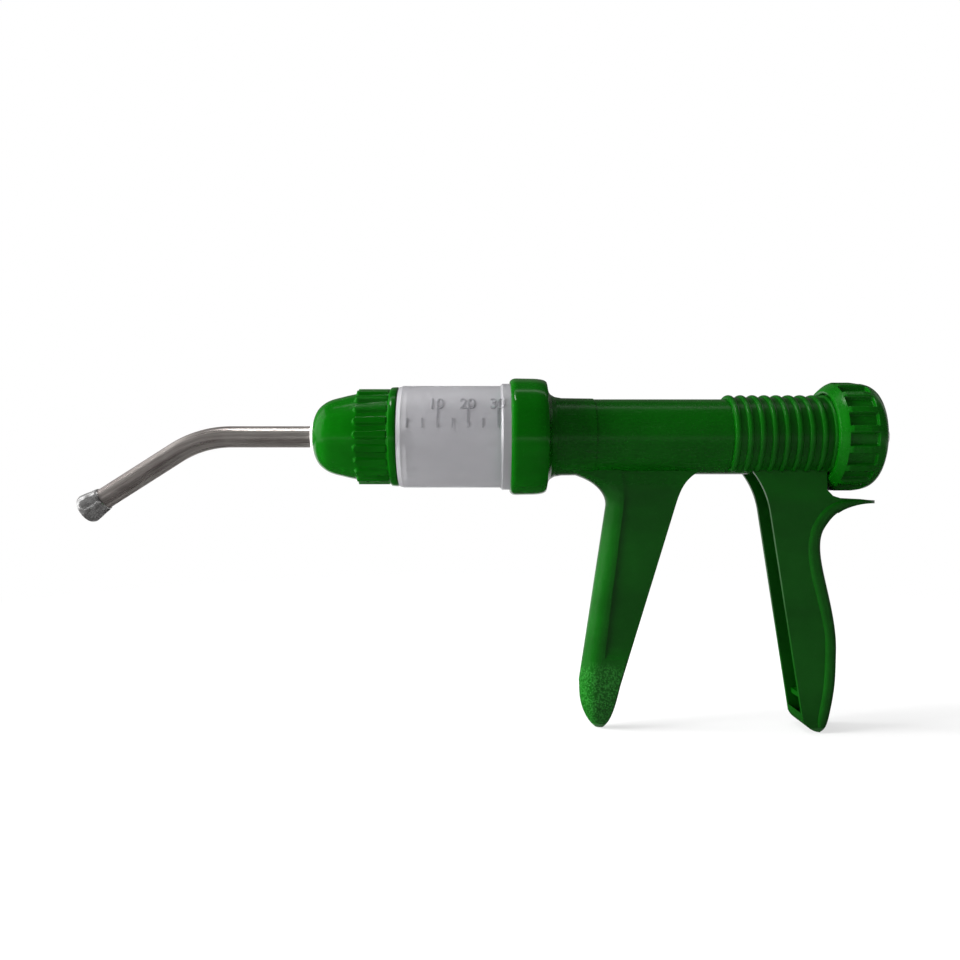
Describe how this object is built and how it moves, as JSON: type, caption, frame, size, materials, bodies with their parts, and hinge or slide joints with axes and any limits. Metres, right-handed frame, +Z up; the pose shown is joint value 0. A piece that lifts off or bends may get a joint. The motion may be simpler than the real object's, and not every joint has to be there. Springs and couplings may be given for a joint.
{
  "type": "dosing gun",
  "caption": "Pistol-grip repeating syringe with a clear graduated barrel, a bent steel nozzle and a sliding rear handle.",
  "frame": {"origin": "on the gun's axis, above the middle of the front handle's root, where the hand holds the gun", "axes": "+X along the gun's axis from the nozzle to the dose knob, +Z up, away from the handles"},
  "size_m": [0.2999, 0.0432, 0.129],
  "materials": {
    "green_plastic": "moulded gloss",
    "barrel_plastic": "frosted translucent",
    "steel": "polished stainless tube",
    "chrome": "polished",
    "spring_steel": "drawn wire",
    "seal_rubber": "matt black rubber",
    "white_nylon": "natural nylon"
  },
  "bodies": {
    "front": {"front_body": "green_plastic", "barrel": "barrel_plastic", "barrel_nut": "green_plastic", "barrel_gasket": "seal_rubber", "nose_cap": "green_plastic", "nose_gasket": "seal_rubber", "outlet_seat": "white_nylon", "outlet_spring": "spring_steel", "nozzle_socket": "steel", "nozzle_bush": "white_nylon", "rest_bumper": "seal_rubber", "rod_bush": "white_nylon", "spring_washer_front": "steel", "return_spring": "spring_steel"},
    "nozzle": {"nozzle_tube": "steel", "nozzle_tip": "chrome", "nozzle_ferrule": "steel", "nozzle_o_ring": "seal_rubber"},
    "outlet_poppet": {"outlet_valve": "seal_rubber"},
    "plunger": {"rear_body": "green_plastic", "piston_rod": "steel", "piston_body": "green_plastic", "piston_ring_front": "seal_rubber", "piston_ring_rear": "seal_rubber", "piston_retainer": "white_nylon", "inlet_spring": "spring_steel", "rod_clip": "spring_steel", "spring_washer_rear": "steel", "knob_ring": "spring_steel", "hose_spigot": "steel"},
    "inlet_poppet": {"inlet_valve": "seal_rubber"},
    "knob": {"dose_knob": "green_plastic"}
  },
  "joints": [
    {"name": "squeeze", "type": "slide", "parent": "front", "child": "plunger", "axis": [-1, 0, 0], "range_m": [0, 0.032], "stiffness_N_per_m": 400, "springref_m": -0.03, "deforming": ["return_spring"]},
    {"name": "dose_turn", "type": "hinge", "parent": "plunger", "child": "knob", "pos_m": [0.075, 0, 0], "axis": [1, 0, 0], "range_deg": [0, 2400]},
    {"name": "nozzle_swivel", "type": "hinge", "parent": "front", "child": "nozzle", "pos_m": [-0.115, 0, 0], "axis": [1, 0, 0], "continuous": true},
    {"name": "outlet_lift", "type": "slide", "parent": "front", "child": "outlet_poppet", "axis": [-1, 0, 0], "range_m": [0, 0.0015], "stiffness_N_per_m": 60, "springref_m": -0.002, "deforming": ["outlet_spring"]},
    {"name": "inlet_lift", "type": "slide", "parent": "plunger", "child": "inlet_poppet", "axis": [-1, 0, 0], "range_m": [0, 0.001], "stiffness_N_per_m": 30, "springref_m": -0.001, "deforming": ["inlet_spring"]}
  ]
}
